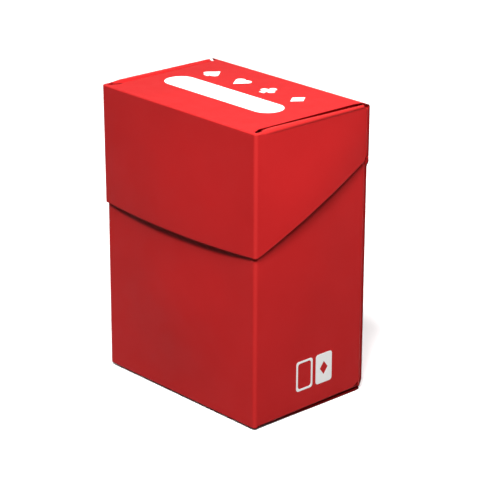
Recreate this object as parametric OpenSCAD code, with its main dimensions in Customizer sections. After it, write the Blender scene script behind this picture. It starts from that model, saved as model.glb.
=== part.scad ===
// Flip-top card deck box, folded from one scored polypropylene sheet.
// Millimetres. X runs across the wide front, the front faces -Y, the hinge line
// is at the back and +Z is up. The origin is the middle of the footprint on the
// surface that the closed box stands on.

/* [Box] */
// Width across the lid's outer faces
lid_w = 71.2; // [58:0.1:100]
// Depth from the lid's front face to the back panel's outer face
lid_d = 47.6; // [36:0.1:80]
// Height of the closed box
box_h = 95.4; // [78:0.1:125]

/* [Sheet] */
// Thickness of the plastic sheet
sheet_t = 0.5; // [0.35:0.01:0.7]
// Outer radius of a fold along a score line
fold_r = 1.2; // [0.75:0.01:1.5]
// Thickness of the sheet that is left in the hinge score
web_t = 0.2; // [0.1:0.01:0.3]
// Height of the hinge score
web_h = 0.6; // [0.3:0.05:1.2]

/* [Lid] */
// Height of the lid's back strip, from the hinge line to the top
strip_h = 17; // [12:0.1:24]
// Height of the lid's front panel at its two lower corners
lid_front_h = 38.8; // [30:0.1:48]
// How far the front panel's lower edge bows down at its middle
front_bow = 0.8; // [0.2:0.1:2]

/* [Body] */
// How far the front wall stands above the hinge line
front_rise = 2; // [0.5:0.1:2.5]
// Clear height between the side walls' top edges and the lid's top flaps
side_head = 3; // [1:0.1:6]
// Length of the sloping run at the front of each side wall's top edge
side_slope = 15; // [8:0.1:20]
// Height over which the back panel widens to the lid's width, below the hinge
flare_h = 3; // [1:0.1:6]

/* [Flaps] */
// Width of the two flaps folded in behind the back panel
back_flap_w = 14; // [8:0.1:20]
// Width of the two flaps folded in over the bottom panel
bottom_flap_w = 24; // [12:0.1:26]
// Width of the two flaps folded in under the lid's top panel
top_flap_w = 20; // [12:0.1:26]
// Width of the two flaps folded in behind the lid's back strip
lid_back_flap_w = 12; // [8:0.1:20]
// Taper at the two ends of a flap
flap_taper = 3; // [1:0.1:5]

/* [Fits] */
// Clear space between the body's walls and the lid, each side
lid_gap = 0.25; // [0.2:0.01:0.5]
// How far the cut edges of the outer panels stop inside the side faces
edge_in = 0.2; // [0.1:0.01:0.3]
// How far the top panel's cut edges stop inside the lid's side faces
top_edge_in = 3.2; // [2.8:0.1:6]
// Space kept where the ends of two flaps come close
flap_gap = 0.3; // [0.2:0.01:0.6]
// Radius of the relief holes where three folds of the lid meet
relief_r = 0.55; // [0.3:0.01:0.7]

/* [Divider] */
// Thickness of the loose divider card
divider_t = 0.5; // [0.4:0.01:0.8]
// Corner radius of the divider card
divider_r = 3; // [1:0.1:6]
// Play at each side edge of the divider card
divider_play = 0.5; // [0.3:0.01:1]
// Clear space between the divider card and the back flaps
divider_gap = 0.6; // [0.4:0.01:1]
// Clear height under the divider card
divider_lift = 0.3; // [0.2:0.01:0.6]
// Clear height between the divider card and the lid's top flaps
divider_head = 4.7; // [2:0.1:8]

/* [Print] */
// Thickness of the printed ink
ink_t = 0.04; // [0.03:0.01:0.08]
// Length of the write-on field on the lid
field_l = 50.2; // [40:0.1:54]
// Height of the write-on field on the lid
field_h = 10.5; // [8:0.1:12]
// Height of each suit mark on the lid
suit_h = 6.4; // [4:0.1:7]
// Distance between two suit marks
suit_pitch = 13; // [9:0.1:14]
// Distance from the lid's middle to the prints' middle, towards the left
print_left = 1.9; // [0:0.1:2.5]
// Height of one card in the mark on the right side
card_h = 10; // [6:0.1:12]

/* [Hidden] */
$fn = 96;
red = [0.78, 0.15, 0.17];
white = [0.97, 0.97, 0.96];
frosted = [0.90, 0.91, 0.92];

// Planes of the sheet's faces
lid_half = lid_w / 2;
lid_front_y = -lid_d / 2;
back_y = lid_d / 2;
lid_step = sheet_t + lid_gap;
body_half = lid_half - lid_step;
body_front_y = lid_front_y + lid_step;
hinge_z = box_h - strip_h;
lid_low_z = box_h - lid_front_h;
inner_back_y = back_y - sheet_t;      // back flaps lie against this plane
inner_top_z = box_h - sheet_t;        // top flaps lie against this plane
flap_floor_z = 2 * sheet_t;           // top of the bottom flaps
flap_ceiling_z = box_h - 2 * sheet_t; // underside of the top flaps
wall_top_z = hinge_z + front_rise;
side_top_z = flap_ceiling_z - side_head;

// Where the straight part of a side panel begins and ends
fold_front_body_y = body_front_y + fold_r;
fold_front_lid_y = lid_front_y + fold_r;
fold_back_y = inner_back_y - fold_r;
// Flaps and side walls that reach the back stay this clear of the back flaps
back_clear_y = min(fold_back_y, inner_back_y - sheet_t - flap_gap);

// The divider card stands just in front of the back flaps
divider_y = back_y - 2 * sheet_t - divider_gap - divider_t / 2;
divider_w = 2 * (body_half - sheet_t - divider_play);
divider_z = flap_floor_z + divider_lift;
divider_top_z = flap_ceiling_z - divider_head;

// Places of the prints
field_y = -2.8;
suit_y = 10.4;
card_mark_y = 2.2;
card_mark_z = 12.7;

// Proportions of the card mark, for a card that is 1 high
card_aspect = 0.7;  // width
card_corner = 0.1;  // corner radius
card_line = 0.07;   // width of the outlined card's line
card_reach = 0.42;  // from the mark's middle to each card's middle
card_pip = 0.45;    // height of the diamond left open in the solid card

// A rectangle from (u0, v0) to (u1, v1)
module bar(u0, u1, v0, v1) {
    translate([u0, v0]) square([u1 - u0, v1 - v0]);
}

// A fold seen end on: a quarter of a ring, turned to quadrant 0, 1, 2 or 3
module bend(centre, quadrant) {
    translate(centre) rotate(90 * quadrant) intersection() {
        difference() {
            circle(r = fold_r);
            circle(r = fold_r - sheet_t);
        }
        square(fold_r);
    }
}

// Run a (y, z) outline along X, an (x, z) outline along Y, an (x, y) outline along Z
module run_x(x0, x1) {
    translate([x0, 0, 0]) rotate([90, 0, 90]) linear_extrude(x1 - x0) children();
}
module run_y(y0, y1) {
    translate([0, y1, 0]) rotate([90, 0, 0]) linear_extrude(y1 - y0) children();
}
module run_z(z0, z1) {
    translate([0, 0, z0]) linear_extrude(z1 - z0) children();
}

// The left-hand piece is the mirror image of the right-hand one
module left() {
    mirror([1, 0, 0]) children();
}

// Flap outline: w wide from u = 0 towards -u, between v0 and v1, with tapered ends
module flap_outline(w, v0, v1) {
    polygon([[0, v0], [0, v1], [-w, v1 - flap_taper], [-w, v0 + flap_taper]]);
}

// ---- Body ----

module body_front_panel() {
    half = body_half - fold_r;
    color(red) run_x(-half, half) {
        bar(body_front_y, body_front_y + sheet_t, fold_r, wall_top_z);
        bend([fold_front_body_y, fold_r], 2);
    }
}

module body_bottom_panel() {
    half = body_half - edge_in;
    color(red) run_x(-half, half) {
        bar(fold_front_body_y, back_y - fold_r, 0, sheet_t);
        bend([back_y - fold_r, fold_r], 3);
    }
}

module body_back_panel() {
    half = body_half - edge_in;
    wide = lid_half - edge_in;
    top = hinge_z - web_h;
    color(red) run_y(inner_back_y, back_y) polygon([
        [-half, fold_r], [half, fold_r],
        [half, top - flare_h], [wide, top - (wide - half)], [wide, top],
        [-wide, top], [-wide, top - (wide - half)], [-half, top - flare_h],
    ]);
}

// Side wall with the fold that joins it to the front panel
module body_side() {
    intersection() {
        run_z(0, box_h) {
            bend([body_half - fold_r, fold_front_body_y], 3);
            bar(body_half - sheet_t, body_half, fold_front_body_y, fold_back_y);
        }
        run_x(0, lid_half) polygon([
            [body_front_y, fold_r],
            [fold_front_body_y, sheet_t + fold_r],
            [fold_back_y, sheet_t + fold_r],
            [fold_back_y, hinge_z - flap_gap],
            [back_clear_y, hinge_z - flap_gap],
            [back_clear_y, side_top_z - fold_r],
            [back_clear_y - fold_r, side_top_z],
            [fold_front_body_y + side_slope, side_top_z],
            [fold_front_body_y, wall_top_z],
            [body_front_y, wall_top_z],
        ]);
    }
}
module body_right_side() { color(red) body_side(); }
module body_left_side() { color(red) left() body_side(); }

// Flap behind the back panel, with its fold
module body_back_flap() {
    low = flap_floor_z + flap_gap;
    high = hinge_z - flap_gap;
    run_z(sheet_t + fold_r, high) bend([body_half - fold_r, fold_back_y], 0);
    translate([body_half - fold_r, 0, 0]) run_y(inner_back_y - sheet_t, inner_back_y)
        flap_outline(back_flap_w, low, high);
}
module body_right_back_flap() { color(red) body_back_flap(); }
module body_left_back_flap() { color(red) left() body_back_flap(); }

// Flap over the bottom panel, with its fold
module body_bottom_flap() {
    front = fold_front_body_y + flap_gap;
    run_y(front, fold_back_y) bend([body_half - fold_r, sheet_t + fold_r], 3);
    translate([body_half - fold_r, 0, 0]) run_z(sheet_t, flap_floor_z)
        flap_outline(bottom_flap_w, front, back_clear_y);
}
module body_right_bottom_flap() { color(red) body_bottom_flap(); }
module body_left_bottom_flap() { color(red) left() body_bottom_flap(); }

// Thin strip of sheet left in the hinge score
module hinge_web() {
    wide = lid_half - edge_in;
    color(red) run_x(-wide, wide) bar(back_y - web_t, back_y, hinge_z - web_h, hinge_z);
}

// ---- Lid ----

module lid_back_strip() {
    wide = lid_half - edge_in;
    color(red) run_x(-wide, wide) bar(inner_back_y, back_y, hinge_z, box_h - fold_r);
}

// Relief holes at the ends of the top panel's cut edges
module relief_holes() {
    for (x = [-1, 1], y = [fold_front_lid_y, back_y - fold_r])
        translate([x * (lid_half - top_edge_in), y, box_h - fold_r])
            cylinder(r = relief_r, h = 2 * fold_r);
}

// Top panel between the two ridges of the side folds, with the fold at its back
module lid_top_panel() {
    half = lid_half - top_edge_in;
    wide = lid_half - edge_in;
    color(red) difference() {
        union() {
            run_x(-half, half) bar(fold_front_lid_y, back_y - fold_r, inner_top_z, box_h);
            run_x(-wide, wide) bend([back_y - fold_r, box_h - fold_r], 0);
        }
        relief_holes();
    }
}

// Front panel: its lower edge is an arc that hangs front_bow below its corners
module lid_front_panel() {
    half = lid_half - fold_r;
    bow_r = (half * half + front_bow * front_bow) / (2 * front_bow);
    bow_facets = 1440; // so large a circle needs many to look round
    color(red) {
        run_y(lid_front_y, lid_front_y + sheet_t) intersection() {
            bar(-half, half, lid_low_z - front_bow, box_h - fold_r);
            translate([0, lid_low_z - front_bow + bow_r]) circle(r = bow_r, $fn = bow_facets);
        }
        run_x(-half, half) bend([fold_front_lid_y, box_h - fold_r], 1);
    }
}

// Side panel with the fold that joins it to the front panel; its lower edge
// climbs from the front corner to the hinge line
module lid_side() {
    rise = (hinge_z - lid_low_z) / (back_y - fold_front_lid_y);
    low_back_z = lid_low_z + rise * (fold_back_y - fold_front_lid_y);
    intersection() {
        run_z(0, box_h) {
            bend([lid_half - fold_r, fold_front_lid_y], 3);
            bar(lid_half - sheet_t, lid_half, fold_front_lid_y, fold_back_y);
        }
        run_x(0, lid_half) polygon([
            [lid_front_y, lid_low_z],
            [fold_front_lid_y, lid_low_z],
            [fold_back_y, low_back_z],
            [fold_back_y, box_h - fold_r],
            [lid_front_y, box_h - fold_r],
        ]);
    }
}
module lid_right_side() { color(red) lid_side(); }
module lid_left_side() { color(red) left() lid_side(); }

// Flap under the top panel: its fold is a ridge as high as the panel's face,
// from which the sheet dips one thickness to pass under the panel's cut edge
module lid_top_flap() {
    front = fold_front_lid_y + flap_gap;
    ridge_x = lid_half - fold_r;
    dip_x = lid_half - top_edge_in + flap_gap;
    run_y(front, fold_back_y) {
        bend([ridge_x, box_h - fold_r], 0);
        polygon([
            [ridge_x, box_h], [dip_x, inner_top_z],
            [dip_x, flap_ceiling_z], [ridge_x, inner_top_z],
        ]);
    }
    translate([dip_x, 0, 0]) run_z(flap_ceiling_z, inner_top_z)
        flap_outline(top_flap_w, front, back_clear_y);
}
module lid_right_top_flap() { color(red) lid_top_flap(); }
module lid_left_top_flap() { color(red) left() lid_top_flap(); }

// Flap behind the back strip, with its fold
module lid_back_flap() {
    low = hinge_z + flap_gap;
    high = min(flap_ceiling_z, box_h - fold_r) - flap_gap;
    run_z(low, high) bend([lid_half - fold_r, fold_back_y], 0);
    translate([lid_half - fold_r, 0, 0]) run_y(inner_back_y - sheet_t, inner_back_y)
        flap_outline(lid_back_flap_w, low, high);
}
module lid_right_back_flap() { color(red) lid_back_flap(); }
module lid_left_back_flap() { color(red) left() lid_back_flap(); }

// ---- Prints ----

// Write-on field with round ends, printed on the top panel
module label_field() {
    straight = field_l - field_h;
    color(white) translate([-print_left, field_y]) run_z(box_h, box_h + ink_t) {
        square([straight, field_h], center = true);
        for (side = [-1, 1]) translate([side * straight / 2, 0]) circle(d = field_h);
    }
}

// The four suits, each 1 high and centred on the origin
module diamond() {
    polygon([[0, -0.5], [0.38, 0], [0, 0.5], [-0.38, 0]]);
}
module heart() {
    lobe = 0.25;
    lobe_at = 0.22;
    for (side = [-1, 1]) translate([side * lobe_at, lobe_at]) circle(r = lobe);
    polygon([[0, -0.5], [0.435, 0.09], [0.2, 0.3], [0, 0.25], [-0.2, 0.3], [-0.435, 0.09]]);
}
module stem() {
    polygon([[-0.17, -0.5], [0.17, -0.5], [0.05, -0.1], [-0.05, -0.1]]);
}
module club() {
    lobe = 0.2;
    core = 0.13;
    for (at = [[0, 0.28], [-0.23, -0.06], [0.23, -0.06]]) translate(at) circle(r = lobe);
    circle(r = core);
    stem();
}
module spade() {
    raise = 0.06;
    squash = 0.88;
    translate([0, raise]) scale([1, -squash]) heart();
    stem();
}

// Row of the four suits behind the write-on field
module suit_marks() {
    color(white) translate([-print_left, suit_y]) run_z(box_h, box_h + ink_t)
        for (i = [0:3]) translate([(i - 1.5) * suit_pitch, 0]) scale(suit_h) {
            if (i == 0) spade();
            if (i == 1) heart();
            if (i == 2) club();
            if (i == 3) diamond();
        }
}

// One card outline, standing, with round corners
module card_shape(inset) {
    card_w = card_h * card_aspect;
    corner = card_h * card_corner;
    w = card_w - 2 * inset;
    h = card_h - 2 * inset;
    square([w - 2 * corner, h], center = true);
    square([w, h - 2 * corner], center = true);
    for (u = [-1, 1], v = [-1, 1])
        translate([u * (w / 2 - corner), v * (h / 2 - corner)]) circle(r = corner);
}

// Mark on the body's right side: an outlined card and a solid card
module card_mark() {
    reach = card_h * card_reach;
    color(white) translate([0, card_mark_y, card_mark_z]) run_x(body_half, body_half + ink_t) {
        translate([-reach, 0]) difference() {
            card_shape(0);
            card_shape(card_h * card_line);
        }
        translate([reach, 0]) difference() {
            card_shape(0);
            scale(card_h * card_pip) diamond();
        }
    }
}

// ---- Divider ----

// Loose card with round corners that parts two stacks of cards
module deck_divider() {
    z_mid = (divider_z + divider_top_z) / 2;
    h = divider_top_z - divider_z;
    color(frosted) translate([0, 0, z_mid]) run_y(divider_y - divider_t / 2, divider_y + divider_t / 2) {
        square([divider_w - 2 * divider_r, h], center = true);
        square([divider_w, h - 2 * divider_r], center = true);
        for (u = [-1, 1], v = [-1, 1])
            translate([u * (divider_w / 2 - divider_r), v * (h / 2 - divider_r)])
                circle(r = divider_r);
    }
}

body_front_panel();
body_back_panel();
body_bottom_panel();
body_left_side();
body_right_side();
body_left_back_flap();
body_right_back_flap();
body_left_bottom_flap();
body_right_bottom_flap();
hinge_web();
lid_back_strip();
lid_top_panel();
lid_front_panel();
lid_left_side();
lid_right_side();
lid_left_top_flap();
lid_right_top_flap();
lid_left_back_flap();
lid_right_back_flap();
label_field();
suit_marks();
card_mark();
deck_divider();
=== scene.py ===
"""Flip-top card deck box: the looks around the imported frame. Metres, in the frame's own axes.

The real box is one scored and folded plastic sheet. Its panels and flaps are built here as closed pieces:
an outer face that follows its folds, an inner face, and a rounded cut edge. Only the four back flaps, the
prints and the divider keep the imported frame's own shape, with new materials.
"""

import bisect
import math

import bmesh
import bpy
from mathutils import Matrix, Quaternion, Vector


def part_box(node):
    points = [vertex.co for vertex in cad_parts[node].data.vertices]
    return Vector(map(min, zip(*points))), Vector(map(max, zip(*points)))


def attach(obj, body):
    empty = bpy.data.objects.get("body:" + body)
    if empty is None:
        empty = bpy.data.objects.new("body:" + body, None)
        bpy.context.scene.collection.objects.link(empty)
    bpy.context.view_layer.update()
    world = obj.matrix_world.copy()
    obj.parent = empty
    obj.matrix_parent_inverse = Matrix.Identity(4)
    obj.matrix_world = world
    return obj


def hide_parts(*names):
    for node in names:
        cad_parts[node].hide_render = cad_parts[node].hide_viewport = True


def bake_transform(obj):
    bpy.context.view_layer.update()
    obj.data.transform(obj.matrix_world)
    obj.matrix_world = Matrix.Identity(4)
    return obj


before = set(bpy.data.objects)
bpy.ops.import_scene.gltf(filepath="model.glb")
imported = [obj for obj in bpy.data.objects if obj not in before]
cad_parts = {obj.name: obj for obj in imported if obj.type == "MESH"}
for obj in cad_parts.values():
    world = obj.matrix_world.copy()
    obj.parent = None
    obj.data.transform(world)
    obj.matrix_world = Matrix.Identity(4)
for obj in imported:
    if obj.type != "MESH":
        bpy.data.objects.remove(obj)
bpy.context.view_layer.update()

MM = 0.001

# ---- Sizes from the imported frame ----

LID_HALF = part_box("lid_right_side")[1].x
LID_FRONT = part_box("lid_front_panel")[0].y
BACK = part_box("lid_back_strip")[1].y
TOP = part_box("lid_top_panel")[1].z
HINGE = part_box("lid_back_strip")[0].z
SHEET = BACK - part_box("lid_back_strip")[0].y
FOLD = LID_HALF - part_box("lid_front_panel")[1].x
LID_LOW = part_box("lid_right_side")[0].z
BOW = LID_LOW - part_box("lid_front_panel")[0].z
BODY_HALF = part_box("body_right_side")[1].x
BODY_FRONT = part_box("body_front_panel")[0].y
WALL_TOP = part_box("body_front_panel")[1].z
SIDE_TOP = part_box("body_right_side")[1].z
FOLD_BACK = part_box("lid_right_side")[1].y
CUT_IN = BODY_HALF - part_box("body_bottom_panel")[1].x
TOP_FLAP_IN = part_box("lid_right_top_flap")[0].x
BOTTOM_FLAP_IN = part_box("body_right_bottom_flap")[0].x

# ---- Sizes of the fine detail ----

CREASE = 0.4 * MM         # outer radius of the sharper folds along the top and the bottom
CREASE_SHEET = 0.32 * MM  # sheet left in a sharp fold
RIM = 0.08 * MM           # rounding of a cut edge
SLANT = 0.15 * MM         # a cut edge leans in by this much from the outer face to the inner one
EDGE_LINE = 0.35 * MM     # first line of the grid inside an edge
SAG = 0.6 * MM            # the front's lower fold lies this far above the table
SAG_RUN = 0.7             # the bottom panel drops by SAG over this share of its depth
RIDGE = 1.0 * MM          # outer radius of the fold between a cheek and its top flap
RIDGE_RISE = 0.65 * MM    # the ridge springs up this far above the top panel near the front
RIDGE_DROP = 0.5 * MM     # and lies this far below it at the back
RIDGE_SQUARE = 0.55 * MM  # the ridge is this much squarer at the back
RIDGE_SQUARE_RUN = 0.75   # and is so over this share of its arc
RIDGE_FRONT_SHARE = 0.4   # share of the rise that the ridge starts with at its front end
RIDGE_FRONT_RUN = 0.1     # it has the whole rise after this share of its length
RIDGE_RUN_OUT = 1.5 * MM  # the rise dies out this far past the turn back to level
RIDGE_STEP = 0.2 * MM     # the cheek's upper edge steps to the ridge over this length
RIDGE_END_STEP = 0.3 * MM  # and past the ridge's end over this one
RIDGE_END_SHARE = 0.75    # past the ridge, the cheek ends this share of RIDGE below the top
FLAP_LEAN = 40            # degrees by which a top flap first dives under the top panel
FLAP_CLEARANCE = 0.35 * MM  # between the top panel and a top flap
FLAP_TURN = 1.0 * MM      # radius of the turn back to level
FLAP_THICKEN = 2 * MM     # a top flap reaches its full thickness over this length
FLAP_NOTCH = 3 * MM       # past the ridge, a top flap's front end steps back this far from the hole
FLAP_NOTCH_RUN = 0.8 * MM  # it steps back over this length
HOLE = 0.9 * MM           # radius of the relief holes at the ends of the top panel's cut edges
HOLE_REACH = 0.9 * MM     # the ridge ends this far past the middles of the relief holes
FRONT_HOLE_DEPTH = 1.5    # radii that a front relief hole reaches inward from the side fold
BACK_HOLE_DEPTH = 2.4     # radii that a back one reaches inward from the cut edge
FRONT_HOLE_BACK = 2.2 * MM  # from the lid's front face to the middle of the front relief hole
BACK_HOLE_IN = 1.8 * MM     # from the back to the middle of the back relief hole
CUT_FRONT, CUT_BACK = 3.6 * MM, 2.8 * MM  # from the lid's side face in to the top panel's cut edge
CUT_FRONT_RUN, CUT_BACK_RUN = 2.4 * MM, 2.5 * MM  # the cut edge runs out from the holes over these lengths
BOTTOM_IN = 0.4 * MM      # the bottom panel's cut edges lie this far inside the side walls
BOTTOM_CORNER = 1.2 * MM  # cut-off corners at the back of the bottom
BOTTOM_WIDEN = 0.4 * MM   # behind the front's fold, the bottom widens to its cut edges over this length
BOTTOM_FLAP_GAP = 0.5 * MM  # from the upright fold back to a bottom flap
SIDE_LIFT = 0.5 * MM      # the side walls' lower folds rise by this much from the front to the back
SIDE_SLOPE = 15 * MM      # sloping run at the front of a side wall's top edge
SIDE_STEP = 0.4 * MM      # a side wall's lower edge steps up over this length behind the upright fold
SIDE_BACK_RUN = 2 * FOLD  # a side wall's two back corners are rounded off over this length
FLAP_TAPER = 3 * MM       # taper at the ends of a flap
FLARE = 3 * MM            # height of the wider top of the back panel, under the hinge
FLARE_RUN = 0.7           # the panel widens over this share of it
WEB = 0.5 * MM            # the hinge score reaches this far to each side of the hinge line
WEB_SHEET = 0.2 * MM      # sheet left in the hinge score
WEB_DIP = 0.08 * MM       # the score's outer face lies this far in
WEB_STEEP = 1.5           # the higher, the sooner the score reaches WEB_SHEET
CREASE_STEEP = 3          # the higher, the sooner a sharp fold reaches CREASE_SHEET
LID_FRONT_BULGE = 1.3 * MM  # at the middle of the front's lower edge
CHEEK_BULGE = 1.2 * MM
CHEEK_CORNER = 1.0 * MM   # softens the corner where a cheek's slanted lower edge begins
CHEEK_DROP = 0.2 * MM     # a cheek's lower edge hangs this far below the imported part's
LID_TAPER = 0.2 * MM      # the lid's lower corners close in on the body by this much
BODY_FRONT_BULGE = 1.1 * MM
BODY_FRONT_BULGE_LOW = 1.5  # above 1, the front panel bulges most below its middle
BODY_SIDE_BULGE = 0.4 * MM
MARK_CLEAR = 2 * MM       # the side walls are flat up to this height above the printed mark
BODY_BACK_BULGE = 0.3 * MM


def smooth(t):
    """0 to 1, with level ends."""
    t = min(1.0, max(0.0, t))
    return t * t * (3 - 2 * t)


def dome(t):
    """0 at both ends and 1 in the middle."""
    return math.sin(math.pi * min(1.0, max(0.0, t)))


def between(a, b, t):
    return a + (b - a) * t


# ---- Folded sheets ----

class Path:
    """The outer face of a folded sheet seen end on: straight runs and arcs. The inside lies on its left."""

    def __init__(self, u, v, heading):
        self.here, self.heading = (u, v), math.radians(heading)
        self.runs, self.starts, self.length = [], [], 0.0

    def _add(self, length, curve, parts, bent):
        self.runs.append((self.here, self.heading, length, curve, parts, bent))
        self.starts.append(self.length)
        self.here, self.heading = self._move(self.here, self.heading, length, curve)
        self.length += length
        return self

    @staticmethod
    def _move(here, heading, length, curve):
        (u, v), end = here, heading + length * curve
        if curve == 0:
            return (u + length * math.cos(heading), v + length * math.sin(heading)), heading
        return (
            u + (math.sin(end) - math.sin(heading)) / curve,
            v - (math.cos(end) - math.cos(heading)) / curve,
        ), end

    def line(self, length, parts=1):
        return self._add(length, 0.0, parts, False)

    def arc(self, radius, turn, parts=12):
        """Turns left by turn degrees, or right when it is negative."""
        angle = math.radians(turn)
        return self._add(radius * abs(angle), math.copysign(1 / radius, angle), parts, True)

    def at(self, s):
        """The point and the outward direction at length s."""
        i = max(0, bisect.bisect_right(self.starts, s) - 1)
        here, heading, _, curve, _, _ = self.runs[i]
        (u, v), heading = self._move(here, heading, s - self.starts[i], curve)
        return u, v, math.sin(heading), -math.cos(heading)

    def bent(self, s):
        """1 in the middle of a fold, 0 outside the folds."""
        i = max(0, bisect.bisect_right(self.starts, s - 1e-9) - 1)
        length, is_bent = self.runs[i][2], self.runs[i][5]
        return dome((s - self.starts[i]) / length) if is_bent else 0.0

    def stations(self):
        out = [0.0]
        for start, (_, _, length, _, parts, is_bent) in zip(self.starts, self.runs):
            marks = [k / parts for k in range(1, parts + 1)]
            if not is_bent and length > 3 * EDGE_LINE:
                marks = sorted(set(marks + [EDGE_LINE / length, 1 - EDGE_LINE / length]))
            out += [start + length * m for m in marks]
        return out


PLANES = {
    "xy": lambda u, v, w: (u, v, w),
    "yz": lambda u, v, w: (w, u, v),
    "xz": lambda u, v, w: (u, w, v),
}


def folded_sheet(name, plane, path, edges, across=16, joined=(), bulge=None, thick=None, warp=None):
    """A closed piece of sheet that follows path, and reaches from edges(s)[0] to edges(s)[1] across it.

    joined names the sides that carry on into a neighbour and keep a square end: start, end, low or high.
    bulge(s, w) pushes the sheet outward, thick(s, w) is its thickness and warp(s, w) shifts s.
    """
    spans = path.stations()
    widest = max(b - a for a, b in map(edges, spans))
    marks = sorted({k / across for k in range(across + 1)} | {EDGE_LINE / widest, 1 - EDGE_LINE / widest})
    place = PLANES[plane]
    verts, faces, fold_marks, edge_shade_marks = [], [], [], []

    def vertex(i, j, rounding, depth):
        def inset(side):
            return 0.0 if side in joined else RIM * rounding + SLANT * depth(SHEET) / SHEET

        a, b = inset("start"), inset("end")
        s = a + spans[i] * (path.length - a - b) / path.length
        low, high = edges(s)
        w = between(low + inset("low"), high - inset("high"), marks[j])
        at = warp(s, w) if warp else s
        u, v, nu, nv = path.at(at)
        sheet = thick(s, w) if thick else SHEET
        out = (bulge(s, w) if bulge else 0.0) - depth(sheet)
        verts.append(place(u + nu * out, v + nv * out, w))
        fold_marks.append(path.bent(s))
        edge_shade_marks.append(1 - rounding)
        return len(verts) - 1

    def grid(depth, flip):
        ids = [[vertex(i, j, 1.0, depth) for j in range(len(marks))] for i in range(len(spans))]
        for i in range(len(spans) - 1):
            for j in range(len(marks) - 1):
                quad = (ids[i][j], ids[i + 1][j], ids[i + 1][j + 1], ids[i][j + 1])
                faces.append(quad[::-1] if flip else quad)
        return ids

    last_i, last_j = len(spans) - 1, len(marks) - 1
    ring = [(i, 0) for i in range(last_i)] + [(last_i, j) for j in range(last_j)]
    ring += [(i, last_j) for i in range(last_i, 0, -1)] + [(0, j) for j in range(last_j, 0, -1)]
    outer = grid(lambda sheet: 0.0, False)
    inner = grid(lambda sheet: sheet, True)
    loops = [[outer[i][j] for i, j in ring]]
    turns = [math.radians(a) for a in (30, 60, 90)]
    for t in turns:
        loops.append([
            vertex(i, j, 1 - math.sin(t), lambda sheet, t=t: RIM * (1 - math.cos(t))) for i, j in ring
        ])
    for t in reversed(turns):
        loops.append([
            vertex(i, j, 1 - math.sin(t), lambda sheet, t=t: sheet - RIM * (1 - math.cos(t))) for i, j in ring
        ])
    loops.append([inner[i][j] for i, j in ring])
    for one, two in zip(loops, loops[1:]):
        for k in range(len(ring)):
            n = (k + 1) % len(ring)
            faces.append((one[n], one[k], two[k], two[n]))
    return make_piece(name, verts, faces, fold_marks, edge_shade_marks)


SHARP = math.radians(40)  # edges that turn by more than this are shaded sharp
WELD = 1e-7               # corners closer than this are one corner
CAP_STEPS, SWEEP_STEPS = 8, 10  # faces round a corner cap's rim, and along its sweep
CAP_WHITENING_AND_HIGHLIGHT = 0.6            # how pale a corner cap is, as a share of the fold colour, which is partly stress-whitening and partly a painted highlight


def make_piece(name, verts, faces, fold_marks, edge_shade_marks):
    mesh = bpy.data.meshes.new(name)
    mesh.from_pydata(verts, [], faces)
    # One mark says where folds get their paler colour, partly a painted highlight; the other where the cut
    # edges are painted dark as shade
    for label, values in (("fold", fold_marks), ("cut_edge_shade", edge_shade_marks)):
        mark = mesh.attributes.new(label, "FLOAT", "POINT")
        mark.data.foreach_set("value", values)
    obj = bpy.data.objects.new(name, mesh)
    bpy.context.scene.collection.objects.link(obj)
    tidy_mesh(mesh)
    return obj


def tidy_mesh(mesh):
    """Welds doubled corners, turns every face outward, and shades smooth up to sharp ends."""
    bm = bmesh.new()
    bm.from_mesh(mesh)
    bmesh.ops.remove_doubles(bm, verts=bm.verts, dist=WELD)
    bmesh.ops.recalc_face_normals(bm, faces=bm.faces)
    bm.to_mesh(mesh)
    bm.free()
    mesh.shade_smooth()
    mesh.set_sharp_from_angle(angle=SHARP)


def mirrored(obj, name):
    """The left-hand copy of a right-hand piece."""
    mesh = obj.data.copy()
    mesh.name = name
    for v in mesh.vertices:
        v.co.x = -v.co.x
    mesh.flip_normals()
    copy = bpy.data.objects.new(name, mesh)
    bpy.context.scene.collection.objects.link(copy)
    return copy


def reshape(obj, move):
    """Moves every corner of a piece; move takes and returns x, y, z."""
    for v in obj.data.vertices:
        v.co = move(*v.co)


def corner_cap(axis_x, axis_y, face_z, up, run=0.0):
    """The rounded corner where an upright fold meets a sharp fold, right and left in one mesh.

    A rim of radius CREASE is swept round the upright fold's axis, and then straight back by run. up is 1 at
    the top of the lid and -1 at the bottom of the body.
    """
    inner = CREASE - CREASE_SHEET
    quarter = [math.pi / 2 * k / CAP_STEPS for k in range(CAP_STEPS + 1)]
    profile = [(FOLD - CREASE * (1 - math.cos(a)), CREASE * math.sin(a)) for a in quarter]
    profile += [(0.0, CREASE), (0.0, inner)]
    profile += [(FOLD - CREASE + inner * math.cos(a), inner * math.sin(a)) for a in reversed(quarter)]
    stops = [(axis_y, -math.pi / 2 * (1 - k / SWEEP_STEPS)) for k in range(SWEEP_STEPS + 1)]
    if run:
        stops.append((axis_y + run, 0.0))
    n = len(profile)
    verts, faces = [], []
    for side in (1, -1):
        first = len(verts)
        for y, a in stops:
            verts += [(side * (axis_x + r * math.cos(a)), y + r * math.sin(a), face_z + up * (h - CREASE))
                      for r, h in profile]
        for k in range(len(stops) - 1):
            at = first + k * n
            faces += [(at + p, at + n + p, at + n + (p + 1) % n, at + (p + 1) % n) for p in range(n)]
        last = first + (len(stops) - 1) * n
        faces.append(tuple(range(first, first + n)))
        faces.append(tuple(range(last, last + n)))
    return make_piece("corner_cap", verts, faces, [CAP_WHITENING_AND_HIGHLIGHT] * len(verts), [0.0] * len(verts))


def join_into(obj, other):
    """Adds other's mesh to obj as a loose part of the same piece."""
    bm = bmesh.new()
    bm.from_mesh(obj.data)
    bm.from_mesh(other.data)
    bm.to_mesh(obj.data)
    bm.free()
    obj.data.set_sharp_from_angle(angle=SHARP)
    bpy.data.objects.remove(other)
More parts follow.
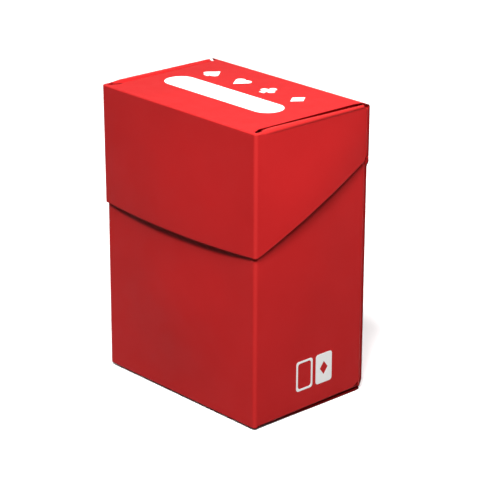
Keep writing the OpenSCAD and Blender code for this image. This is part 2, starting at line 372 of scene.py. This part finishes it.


# ---- Materials ----

# Noise scales on the plastic, in cells per metre
# The folds' paler colour, partly stress-whitening and partly a painted highlight, is broken up at its own
# scale
CLOUD_SCALE, GRAIN_SCALE, WHITENING_AND_HIGHLIGHT_SCALE, GLOSS_SCALE, WAVE_SCALE = 55, 4200, 900, 160, 90
DARKER, PALER = 0.965, 1.035  # the cloudy tint's two ends
GLOSS_SPREAD = 0.04       # the roughness varies by this much each way
WHITENING_AND_HIGHLIGHT_LOW = 0.75           # the fold colour's lowest share in a fold, where it is partly stress-whitening and partly a painted highlight
GRAIN_STRENGTH, WAVE_STRENGTH, WAVE_DEPTH = 0.35, 0.25, 0.05 * MM
INK_SCALE, INK_DARKER, INK_GRAIN, INK_DEPTH = 3000, 0.96, 0.2, 0.01 * MM


def node_material(name):
    m = bpy.data.materials.new(name)
    m.use_nodes = True
    return m, m.node_tree.nodes, m.node_tree.links


def plastic(name, colour, fold_whitening_and_highlight_colour, edge_shade_colour, rough, grain_depth, specular):
    """Satin polypropylene sheet: a fine grain, faint waves, a paler colour on folds that is partly
    stress-whitening and partly a painted highlight, and a dark colour on cut edges that is painted shade.
    """
    m, nodes, links = node_material(name)
    shader = nodes["Principled BSDF"]
    shader.inputs["Specular IOR Level"].default_value = specular
    place = nodes.new("ShaderNodeTexCoord").outputs["Object"]

    def noise(scale, detail):
        n = nodes.new("ShaderNodeTexNoise")
        n.inputs["Scale"].default_value = scale
        n.inputs["Detail"].default_value = detail
        links.new(place, n.inputs["Vector"])
        return n.outputs["Fac"]

    def spread(value, low, high):
        r = nodes.new("ShaderNodeMapRange")
        r.inputs["From Min"].default_value = 0.3
        r.inputs["From Max"].default_value = 0.7
        r.inputs["To Min"].default_value = low
        r.inputs["To Max"].default_value = high
        links.new(value, r.inputs["Value"])
        return r.outputs["Result"]

    cloudy = noise(CLOUD_SCALE, 3)
    grain = noise(GRAIN_SCALE, 2)
    shade = nodes.new("ShaderNodeMix")
    shade.data_type = "RGBA"
    links.new(spread(cloudy, 0, 1), shade.inputs["Factor"])
    shade.inputs["A"].default_value = (*(c * DARKER for c in colour), 1)
    shade.inputs["B"].default_value = (*(min(1, c * PALER) for c in colour), 1)

    # Folds get a paler colour: partly the stress-whitening of the scored sheet, partly a painted highlight
    # along the crease
    fold = nodes.new("ShaderNodeAttribute")
    fold.attribute_name = "fold"
    whitening_and_highlight = nodes.new("ShaderNodeMath")
    whitening_and_highlight.operation = "MULTIPLY"
    links.new(fold.outputs["Fac"], whitening_and_highlight.inputs[0])
    links.new(spread(noise(WHITENING_AND_HIGHLIGHT_SCALE, 2), WHITENING_AND_HIGHLIGHT_LOW, 1.0), whitening_and_highlight.inputs[1])
    tint = nodes.new("ShaderNodeMix")
    tint.data_type = "RGBA"
    links.new(whitening_and_highlight.outputs["Value"], tint.inputs["Factor"])
    links.new(shade.outputs["Result"], tint.inputs["A"])
    tint.inputs["B"].default_value = (*fold_whitening_and_highlight_colour, 1)
    # Cut edges are painted dark: painted shade, standing in for the shade in the gaps and relief holes along
    # them
    cut = nodes.new("ShaderNodeAttribute")
    cut.attribute_name = "cut_edge_shade"
    rim = nodes.new("ShaderNodeMix")
    rim.data_type = "RGBA"
    links.new(cut.outputs["Fac"], rim.inputs["Factor"])
    links.new(tint.outputs["Result"], rim.inputs["A"])
    rim.inputs["B"].default_value = (*edge_shade_colour, 1)
    links.new(rim.outputs["Result"], shader.inputs["Base Color"])

    gloss = spread(noise(GLOSS_SCALE, 2), rough - GLOSS_SPREAD, rough + GLOSS_SPREAD)
    links.new(gloss, shader.inputs["Roughness"])
    bump = nodes.new("ShaderNodeBump")
    bump.inputs["Strength"].default_value = GRAIN_STRENGTH
    bump.inputs["Distance"].default_value = grain_depth
    links.new(grain, bump.inputs["Height"])
    waves = nodes.new("ShaderNodeBump")
    waves.inputs["Strength"].default_value = WAVE_STRENGTH
    waves.inputs["Distance"].default_value = WAVE_DEPTH
    links.new(noise(WAVE_SCALE, 1), waves.inputs["Height"])
    links.new(bump.outputs["Normal"], waves.inputs["Normal"])
    links.new(waves.outputs["Normal"], shader.inputs["Normal"])
    return m


def ink(name, colour):
    """Screen-printed ink: nearly even, with the sheet's grain showing through."""
    m, nodes, links = node_material(name)
    shader = nodes["Principled BSDF"]
    shader.inputs["Roughness"].default_value = 0.6
    shader.inputs["Specular IOR Level"].default_value = 0.2
    place = nodes.new("ShaderNodeTexCoord").outputs["Object"]
    speck = nodes.new("ShaderNodeTexNoise")
    speck.inputs["Scale"].default_value = INK_SCALE
    links.new(place, speck.inputs["Vector"])
    mix = nodes.new("ShaderNodeMix")
    mix.data_type = "RGBA"
    links.new(speck.outputs["Fac"], mix.inputs["Factor"])
    mix.inputs["A"].default_value = (*(c * INK_DARKER for c in colour), 1)
    mix.inputs["B"].default_value = (*colour, 1)
    links.new(mix.outputs["Result"], shader.inputs["Base Color"])
    bump = nodes.new("ShaderNodeBump")
    bump.inputs["Strength"].default_value = INK_GRAIN
    bump.inputs["Distance"].default_value = INK_DEPTH
    links.new(speck.outputs["Fac"], bump.inputs["Height"])
    links.new(bump.outputs["Normal"], shader.inputs["Normal"])
    return m


# The red sheet's fold colour is partly a painted highlight, and its dark edge colour is painted shade
RED = plastic("red_polypropylene", colour=(0.475, 0.0148, 0.0155), fold_whitening_and_highlight_colour=(0.48, 0.022, 0.021),
              edge_shade_colour=(0.13, 0.0018, 0.0024), rough=0.46, grain_depth=0.012 * MM, specular=0.065)
DIVIDER = plastic("natural_polypropylene", colour=(0.80, 0.82, 0.84), fold_whitening_and_highlight_colour=(0.9, 0.9, 0.9),
                  edge_shade_colour=(0.7, 0.72, 0.74), rough=0.5, grain_depth=0.012 * MM, specular=0.3)
WHITE_INK = ink("white_ink", (0.94, 0.94, 0.93))


def paint(obj, material):
    """Gives an object one material in place of any that it has."""
    obj.data.materials.clear()
    obj.data.materials.append(material)


def place_sheet(obj, body, *nodes):
    """Finishes a piece of the red sheet: its material, the body it moves with and the nodes it stands for."""
    paint(obj, RED)
    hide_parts(*nodes)
    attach(obj, body)


def pair(obj, body, part):
    """The right-hand piece and its mirror image, for the nodes PREFIX_right_PART and PREFIX_left_PART."""
    prefix, suffix = part
    left = mirrored(obj, f"{prefix}_left_{suffix}_sheet")
    place_sheet(obj, body, f"{prefix}_right_{suffix}")
    place_sheet(left, body, f"{prefix}_left_{suffix}")


# ---- Body ----

def body_front():
    half = BODY_HALF - FOLD
    face = WALL_TOP - SAG - CREASE
    path = Path(BODY_FRONT, WALL_TOP, -90).line(face, 24).arc(CREASE, 90)

    def bulge(s, w):
        down = min(1.0, s / face) ** BODY_FRONT_BULGE_LOW
        return BODY_FRONT_BULGE * dome(down) ** 2 * dome((w + half) / (2 * half)) ** 2

    obj = folded_sheet("body_front_sheet", "yz", path, lambda s: (-half, half), 24,
                       ("end", "low", "high"), bulge, crease_thickness(path))
    join_into(obj, corner_cap(half, BODY_FRONT + FOLD, SAG, -1))
    place_sheet(obj, "body", "body_front_panel")


def crease_thickness(path):
    """The sheet thins from its full thickness to CREASE_SHEET where it is bent sharply."""
    def thick(s, w):
        return between(SHEET, CREASE_SHEET, smooth(path.bent(s) * CREASE_STEEP))
    return thick


def lift(y):
    """How far the side walls' lower folds have risen at y."""
    start = BODY_FRONT + FOLD
    return SIDE_LIFT * smooth((y - start) / (FOLD_BACK - start))


def body_bottom():
    """The bottom panel drops by SAG behind the front's fold, and lies flat on the table at the back."""
    start = BODY_FRONT + CREASE
    flat = BACK - CREASE - start
    fine = 1.5 * MM
    path = Path(start, 0, 0).line(fine, 12).line(flat - fine, 20).arc(CREASE, 90)

    def edges(s):
        half = BODY_HALF - between(FOLD, BOTTOM_IN, smooth((s - (FOLD - CREASE)) / BOTTOM_WIDEN))
        half -= max(0.0, BOTTOM_CORNER - (path.length - s))
        return -half, half

    obj = folded_sheet("body_bottom_sheet", "yz", path, edges, 16, ("start", "end"), None,
                       crease_thickness(path))
    reshape(obj, lambda x, y, z: (x, y, z + SAG * (1 - smooth((y - start) / (SAG_RUN * flat)))))
    place_sheet(obj, "body", "body_bottom_panel")


def body_back():
    narrow, wide = BODY_HALF - CUT_IN, LID_HALF - CUT_IN
    low, high = CREASE, HINGE - WEB
    path = Path(BACK, low, 90).line(high - low - FLARE, 24).line(FLARE, 12)

    def edges(s):
        z = low + s
        half = between(narrow, wide, smooth((z - (high - FLARE)) / (FLARE_RUN * FLARE)))
        half -= max(0.0, BOTTOM_CORNER - s)
        return -half, half

    def bulge(s, w):
        return BODY_BACK_BULGE * dome(s / path.length) * dome((w + narrow) / (2 * narrow))

    obj = folded_sheet("body_back_sheet", "yz", path, edges, 24, ("start", "end"), bulge)
    place_sheet(obj, "body", "body_back_panel")


def body_sides():
    path = Path(BODY_HALF - FOLD, BODY_FRONT, 0).arc(FOLD, 90, 14)
    arc_end = path.length
    path.line(SIDE_SLOPE, 20).line(FOLD_BACK - BODY_FRONT - FOLD - SIDE_SLOPE, 20)
    flat_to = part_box("card_mark")[1].z + MARK_CLEAR

    def edges(s):
        step = SHEET * smooth((s - arc_end) / SIDE_STEP)
        low = SAG + CREASE + step + lift(BODY_FRONT + FOLD + s - arc_end)
        high = between(WALL_TOP, SIDE_TOP, smooth((s - arc_end) / SIDE_SLOPE))
        near_back = smooth(1 - (path.length - s) / SIDE_BACK_RUN)
        return low + BOTTOM_CORNER * near_back, high - FOLD * near_back

    def bulge(s, w):
        along, up = (s - arc_end) / (path.length - arc_end), (w - flat_to) / (edges(s)[1] - flat_to)
        return BODY_SIDE_BULGE * dome(along) ** 2 * dome(up) ** 2

    obj = folded_sheet("body_right_side_sheet", "xy", path, edges, 36, ("start", "end", "low"), bulge)
    pair(obj, "body", ("body", "side"))


def body_bottom_flaps():
    front, back = BODY_FRONT + FOLD + BOTTOM_FLAP_GAP, FOLD_BACK
    reach = BODY_HALF - CREASE - BOTTOM_FLAP_IN
    path = Path(BOTTOM_FLAP_IN, SAG + SHEET, 0).line(reach, 10).arc(CREASE, 90)

    def edges(s):
        taper = FLAP_TAPER * max(0.0, 1 - s / reach)
        return front + taper, back - taper

    obj = folded_sheet("body_right_bottom_flap_sheet", "xz", path, edges, 16, ("end",), None,
                       crease_thickness(path))
    reshape(obj, lambda x, y, z: (x, y, z + lift(y)))
    pair(obj, "body", ("body", "bottom_flap"))


# ---- Lid ----

def hinge():
    path = Path(BACK, HINGE - WEB, 90).line(2 * WEB, 16)
    half = LID_HALF - CUT_IN

    def bow(s):
        return dome(s / path.length)

    obj = folded_sheet("hinge_score", "yz", path, lambda s: (-half, half), 24, ("start", "end"),
                       lambda s, w: -WEB_DIP * bow(s) ** 2,
                       lambda s, w: between(SHEET, WEB_SHEET, smooth(bow(s) * WEB_STEEP)))
    obj.data.materials.append(RED)
    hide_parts("hinge_web")
    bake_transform(obj)


def lid_strip():
    half = LID_HALF - CUT_IN
    path = Path(BACK, HINGE + WEB, 90).line(TOP - FOLD - HINGE - WEB, 10)
    obj = folded_sheet("lid_back_strip_sheet", "yz", path, lambda s: (-half, half), 24, ("start", "end"))
    place_sheet(obj, "lid", "lid_back_strip")


def top_cut(y):
    """How far the top panel's edge lies inside the lid's side face at y, with a relief hole at each end."""
    from_front, from_back = y - LID_FRONT, BACK - y

    def hole(d):
        return math.sqrt(HOLE ** 2 - d ** 2) if abs(d) < HOLE else 0.0

    if from_front < FRONT_HOLE_BACK:
        return FOLD + FRONT_HOLE_DEPTH * hole(from_front - FRONT_HOLE_BACK)
    if from_back < BACK_HOLE_IN:
        return CUT_IN + BACK_HOLE_DEPTH * hole(from_back - BACK_HOLE_IN)
    run_out = smooth((from_front - FRONT_HOLE_BACK) / CUT_FRONT_RUN)
    run_out *= smooth((from_back - BACK_HOLE_IN) / CUT_BACK_RUN)
    t = from_front / (BACK - LID_FRONT)
    along = between(CUT_FRONT, CUT_BACK, t)
    ends = between(FOLD + FRONT_HOLE_DEPTH * HOLE, CUT_IN + BACK_HOLE_DEPTH * HOLE, t)
    return between(ends, along, run_out)


def lid_top():
    path = Path(BACK, TOP - FOLD, 90).arc(FOLD, 90)
    arc_end = path.length
    flat = BACK - FOLD - LID_FRONT - CREASE
    fine_back, fine_front = 4 * MM, 6 * MM
    path.line(fine_back, 40).line(flat - fine_back - fine_front, 20).line(fine_front, 60)

    def edges(s):
        y = BACK - FOLD - (s - arc_end) if s > arc_end else BACK
        w = LID_HALF - top_cut(y)
        return -w, w

    obj = folded_sheet("lid_top_sheet", "yz", path, edges, 32, ("start", "end"), None, crease_thickness(path))
    place_sheet(obj, "lid", "lid_top_panel")


def tapered(x, y, z):
    """Closes the lid in on the body towards its lower edge."""
    t = (TOP - z) / (TOP - LID_LOW)
    return (
        x * (1 - LID_TAPER / LID_HALF * t),
        y + LID_TAPER * t * (BACK - y) / (BACK - LID_FRONT),
        z,
    )


# The closed corner of the lid runs back from the upright fold to the ridge
CORNER_RUN = FRONT_HOLE_BACK + HOLE_REACH - FOLD


def lid_front():
    half = LID_HALF - FOLD
    path = Path(LID_FRONT + CREASE, TOP, 180).arc(CREASE, 90)
    arc_end = path.length
    drop = TOP - CREASE - LID_LOW
    path.line(drop, 24)

    def warp(s, w):
        """Stretches the face down to the bowed lower edge."""
        if s < arc_end:
            return s
        extra = BOW * (1 - (w / half) ** 2)
        return arc_end + (s - arc_end) * (drop + extra) / drop

    def bulge(s, w):
        return LID_FRONT_BULGE * smooth((s - arc_end) / drop) * (1 - (w / half) ** 2)

    obj = folded_sheet("lid_front_sheet", "yz", path, lambda s: (-half, half), 30,
                       ("start", "low", "high"), bulge, crease_thickness(path), warp)
    join_into(obj, corner_cap(half, LID_FRONT + FOLD, TOP, 1, CORNER_RUN))
    reshape(obj, tapered)
    place_sheet(obj, "lid", "lid_front_panel")


def lid_cheeks():
    path = Path(LID_HALF - FOLD, LID_FRONT, 0).arc(FOLD, 90, 14)
    arc_end = path.length
    reach = FOLD_BACK - LID_FRONT - FOLD
    path.line(CORNER_RUN, 2).line(RIDGE_STEP, 4).line(reach - CORNER_RUN - RIDGE_STEP, 30)
    climb = (HINGE - LID_LOW) / (BACK - LID_FRONT - FOLD)
    ridge_end = reach - (FOLD_BACK - (BACK - BACK_HOLE_IN - HOLE_REACH))

    def edges(s):
        run = s - arc_end
        low = LID_LOW + climb * (math.sqrt(run ** 2 + CHEEK_CORNER ** 2) + run) / 2 - CHEEK_DROP
        below = between(CREASE, RIDGE, smooth((run - CORNER_RUN) / RIDGE_STEP))
        return low, TOP - between(below, RIDGE_END_SHARE * RIDGE, smooth((run - ridge_end) / RIDGE_END_STEP))

    def bulge(s, w):
        low, high = edges(s)
        return CHEEK_BULGE * dome((s - arc_end) / reach) * smooth((high - w) / (high - low))

    obj = folded_sheet("lid_right_side_sheet", "xy", path, edges, 24, ("start", "end", "high"), bulge)
    reshape(obj, tapered)
    pair(obj, "lid", ("lid", "side"))


def lid_top_flaps():
    """The cheek's top fold is a ridge that springs up near the front. The flap dips under the top panel."""
    front, back = LID_FRONT + FRONT_HOLE_BACK + HOLE_REACH, BACK - BACK_HOLE_IN - HOLE_REACH
    lean = math.radians(FLAP_LEAN)
    dip = SHEET + FLAP_CLEARANCE
    run = (dip - (RIDGE + FLAP_TURN) * (1 - math.cos(lean))) / math.sin(lean)
    path = Path(LID_HALF, TOP - RIDGE, 90).arc(RIDGE, 90 + FLAP_LEAN, 20)
    ridge_end = path.length
    path.line(run, 2).arc(FLAP_TURN, -FLAP_LEAN, 8)
    bent = path.length
    reach = path.here[0] - TOP_FLAP_IN
    path.line(reach, 10)

    def edges(s):
        taper = FLAP_TAPER * max(0.0, (s - bent) / reach)
        notch = FLAP_NOTCH * smooth((s - ridge_end) / FLAP_NOTCH_RUN)
        return front + max(taper, notch), back - taper

    def bulge(s, w):
        t = (w - front) / (back - front)
        spring = between(RIDGE_FRONT_SHARE, 1.0, smooth(t / RIDGE_FRONT_RUN))
        rise = spring * RIDGE_RISE * (1 - t) - RIDGE_DROP * t * t
        square = RIDGE_SQUARE * t * dome(s / (RIDGE_SQUARE_RUN * ridge_end))
        return rise * dome(s / (bent + RIDGE_RUN_OUT)) + square

    def thick(s, w):
        return between(CREASE_SHEET, SHEET, smooth((s - bent) / FLAP_THICKEN))

    obj = folded_sheet("lid_right_top_flap_sheet", "xz", path, edges, 40, ("start",), bulge, thick)
    reshape(obj, tapered)
    pair(obj, "lid", ("lid", "top_flap"))


# ---- Camera, light and floor ----

AZIMUTH, ELEVATION, ROLL = (math.radians(a) for a in (47.525, 20.382, 0.153))
CAMERA_DISTANCE = 0.6577
CAMERA_RIGHT, CAMERA_UP = 1.97 * MM, -0.45 * MM
LENS_MM, SENSOR_MM = 155.71, 36.0
FLOOR_SIZE = 8
WORLD_STRENGTH = 0.035


def direction(azimuth, elevation):
    """The unit vector from the object towards a viewer or a lamp."""
    return Vector((
        math.sin(azimuth) * math.cos(elevation),
        -math.cos(azimuth) * math.cos(elevation),
        math.sin(elevation),
    ))


def make_camera():
    target = Vector((0, 0, TOP / 2))
    back = direction(AZIMUTH, ELEVATION)
    right = Vector((math.cos(AZIMUTH), math.sin(AZIMUTH), 0))
    up = back.cross(right)
    camera = bpy.data.objects.new("camera", bpy.data.cameras.new("camera"))
    bpy.context.scene.collection.objects.link(camera)
    camera.data.lens, camera.data.sensor_width = LENS_MM, SENSOR_MM
    camera.data.clip_start, camera.data.clip_end = 0.01, 20
    camera.location = target + back * CAMERA_DISTANCE + right * CAMERA_RIGHT + up * CAMERA_UP
    camera.rotation_mode = "QUATERNION"
    camera.rotation_quaternion = Quaternion(back, ROLL) @ back.to_track_quat("Z", "Y")
    bpy.context.scene.camera = camera


def lamp(name, kind, azimuth, elevation, distance, energy):
    """A lamp that shines on the middle of the box. Its energy is in W, or in W/m2 for a sun."""
    middle = Vector((0, 0, TOP / 2))
    towards = direction(math.radians(azimuth), math.radians(elevation))
    obj = bpy.data.objects.new(name, bpy.data.lights.new(name, kind))
    obj.data.energy = energy
    obj.location = middle + towards * distance
    obj.rotation_mode = "QUATERNION"
    obj.rotation_quaternion = towards.to_track_quat("Z", "Y")
    bpy.context.scene.collection.objects.link(obj)
    return obj


def make_floor():
    bpy.ops.mesh.primitive_plane_add(size=FLOOR_SIZE)
    floor = bpy.context.object
    floor.name = "floor"
    m, nodes, _ = node_material("pale_floor")
    shader = nodes["Principled BSDF"]
    shader.inputs["Base Color"].default_value = (0.95, 0.95, 0.95, 1)
    shader.inputs["Roughness"].default_value = 0.9
    shader.inputs["Specular IOR Level"].default_value = 0.1
    floor.data.materials.append(m)
    floor.visible_diffuse = False  # it throws no light up under the lid's edges


def make_lights():
    key = lamp("key", "SUN", azimuth=30, elevation=58, distance=2, energy=3.7)
    key.data.angle = math.radians(12)
    softbox = lamp("near_softbox", "AREA", azimuth=64, elevation=50, distance=0.28, energy=0.76)
    softbox.data.size = 0.10
    overhead = lamp("overhead", "SUN", azimuth=46, elevation=86, distance=2, energy=0.4)
    overhead.data.angle = math.radians(20)
    fill = lamp("back_fill", "SUN", azimuth=229.5, elevation=16, distance=2, energy=3.0)
    fill.data.angle = math.radians(60)
    fill.visible_glossy = False  # it makes no glare on the top
    world = bpy.data.worlds.new("world")
    bpy.context.scene.world = world
    world.use_nodes = True
    background = world.node_tree.nodes["Background"]
    background.inputs["Color"].default_value = (1, 1, 1, 1)
    background.inputs["Strength"].default_value = WORLD_STRENGTH
    bpy.context.scene.view_settings.view_transform = "Standard"


make_camera()
body_front()
body_bottom()
body_back()
body_sides()
body_bottom_flaps()
hinge()
lid_strip()
lid_top()
lid_front()
lid_cheeks()
lid_top_flaps()

for node in ("label_field", "suit_marks", "card_mark"):
    paint(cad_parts[node], WHITE_INK)
paint(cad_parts["deck_divider"], DIVIDER)
for side in ("left", "right"):
    for node in (f"body_{side}_back_flap", f"lid_{side}_back_flap"):
        paint(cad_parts[node], RED)

make_floor()
make_lights()
